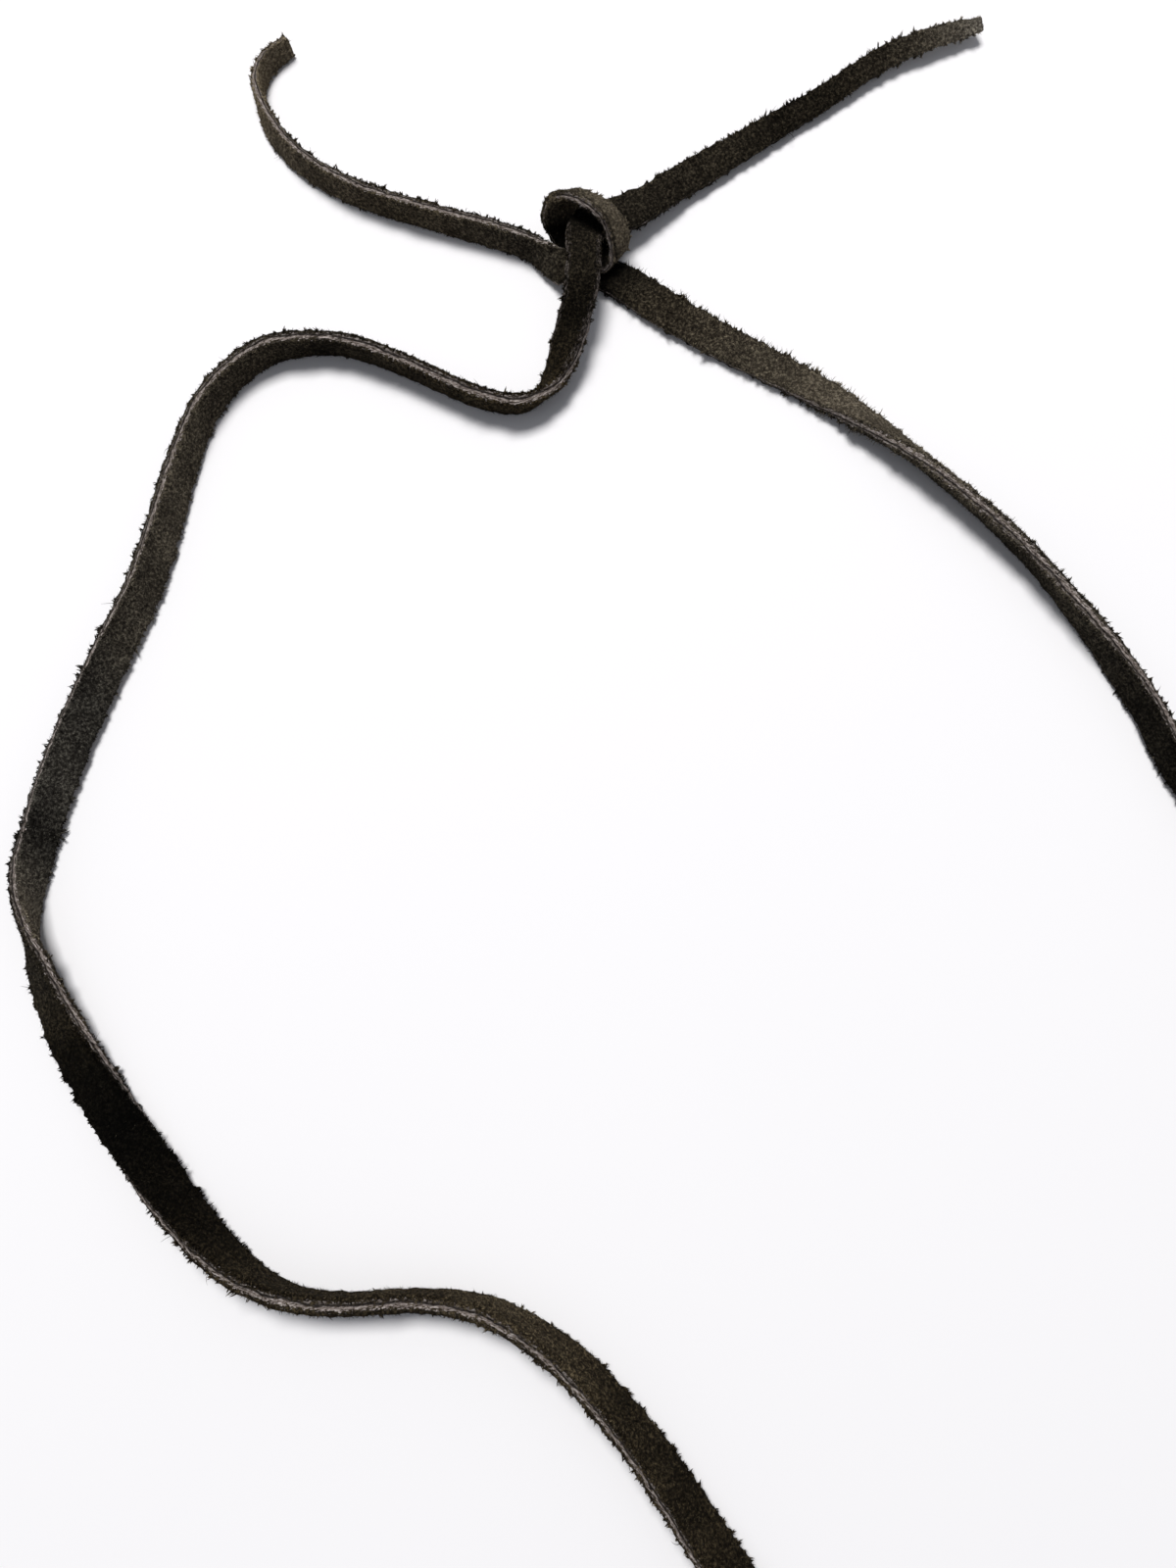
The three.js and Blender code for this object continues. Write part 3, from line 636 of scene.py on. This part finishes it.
size = np.linalg.norm(reach_to, axis=1)
tufts = spikes("corner_tufts", root, reach_to / size[:, None] + out * 0.2, -out * 0.4, size,
               0.1 + 0.16 * rng.random(len(at)), fibre_dye_and_painted_light(at, turn), joints=1)
finished(tufts, nap_suede)

# ---- The core's frayed fibres ----------------------------------------------------------------------------
# The raw core of a cut edge frays into pale fibres, which lie along it on either side of its furrow.  They are
# much thinner than the tufts at its corners.

CORE_FIBRES = 9000
at = rng.uniform(0, len(run) - 1, CORE_FIBRES)
pale_here = np.interp(at * RING_STEP, *zip(*PALE))
at = at[rng.random(CORE_FIBRES) < pale_here]
middle_turns = np.array([np.argmin(np.abs(section - (side, 0)).sum(1)) for side in (WIDTH / 2, -WIDTH / 2)])
turn = rng.choice(middle_turns, len(at)) + rng.choice((-1, 1), len(at)) * AROUND / round_length * 0.35
# Under the knot the lace is pinched, and its core shows over the first face's corners too.
PINCH, PINCH_FIBRES = (57.4, 74), 1100
pinched = rng.uniform(*PINCH, PINCH_FIBRES) / RING_STEP
at = np.append(at, pinched)
turn = (np.append(turn, rng.choice(corner_turns[[1, 3]], len(pinched))) + rng.normal(0, 0.8, len(at))) % AROUND
root, out, forward, sideways = roots(at, turn)
way = rng.choice((-1, 1), (len(at), 1))
on_pinch = (np.arange(len(at)) >= len(at) - len(pinched))[:, None]
slant = rng.normal(0, 1.0, (len(at), 1)) * np.where(on_pinch, 0.3, 1.0)
light = rng.uniform(0.1, 0.9, (len(at), 1)) * np.where(on_pinch, 0.8, 1.0)
frays = spikes("core_fibres", root, forward * way + sideways * slant + out * np.where(on_pinch, 0.2, 0.5),
               -out * 0.3, rng.uniform(0.15, 0.4, len(at)) * np.where(on_pinch[:, 0], 2.2, 1.0),
               rng.uniform(0.04, 0.08, len(at)), light * (1, 1, 1))
finished(frays, fibre_finish("raw_core_fibres", CORE, 0.4))

# ---- Loose fibres ----------------------------------------------------------------------------------------
# A few long single fibres have worked free of the corners and curl away from the lace.  Where it comes raw out
# of the knot, the corners bristle with shorter and stiffer ones.

LOOSE_FIBRES, STIFF_HAIRS = 180, 900
BRISTLING = (476, 549)                      # where the stiff ones are, along the lace
at = np.append(rng.uniform(0, len(run) - 1, LOOSE_FIBRES), rng.uniform(*BRISTLING, STIFF_HAIRS) / RING_STEP)
turn = corner_turns[rng.integers(0, 4, len(at))].astype(float)
root, out, forward, sideways = roots(at, turn)
long = np.arange(len(at)) < LOOSE_FIBRES
way = rng.normal(0, 1, (len(at), 1)) * np.where(long, 0.8, 0.35)[:, None]
loose = spikes("loose_fibres", root, out + forward * way,
               rng.normal(0, 1, (len(at), 3)) * np.where(long, 1.8, 0.4)[:, None],
               np.where(long, rng.uniform(0.6, 1.5, len(at)), rng.uniform(0.25, 0.9, len(at))),
               rng.uniform(0.06, 0.1, len(at)), fibre_dye_and_painted_light(at, turn) * 1.3, joints=5)
finished(loose, nap_suede)

# ---- The table -------------------------------------------------------------------------------------------
# A plain white cloth under the lace, which shows its soft shadow.  It isn't part of the necklace, and is far
# wider than the view.

CLOTH = 1500.0
cloth = new_piece("cloth", np.array([(-1, -1, 0), (1, -1, 0), (1, 1, 0), (-1, 1, 0)]) * CLOTH / 2,
                  np.array([(0, 1, 2, 3)]), np.zeros((0, 3), int))
white = finish("white_cotton", Base_Color=linear("#f3f2f2"), Roughness=0.9)[0]
cloth.data.materials.append(white)

# ---- Light -----------------------------------------------------------------------------------------------
# Dim light from a pale room all round, and a window beyond the knot, high up and to the left.  The window is
# about 40 cm wide and just over a metre off, so that its shadows are soft but keep to one side.

room = bpy.data.worlds.new("room")
room.use_nodes = True
room.node_tree.nodes["Background"].inputs["Color"].default_value = linear("#eef1fb")
room.node_tree.nodes["Background"].inputs["Strength"].default_value = 0.27
bpy.context.scene.world = room
window = bpy.data.lights.new("window", "AREA")
window.shape = "RECTANGLE"
window.size, window.size_y = 0.42, 0.36
window.energy = 11.8
window.color = linear("#fffefe")[:3]
window_stand = bpy.data.objects.new("window", window)
window_stand.location = (-0.14, 0.42, 1.0)
window_stand.rotation_mode = "QUATERNION"
window_stand.rotation_quaternion = Vector(window_stand.location).to_track_quat("Z", "Y")
bpy.context.scene.collection.objects.link(window_stand)
bpy.context.scene.view_settings.view_transform = "Standard"
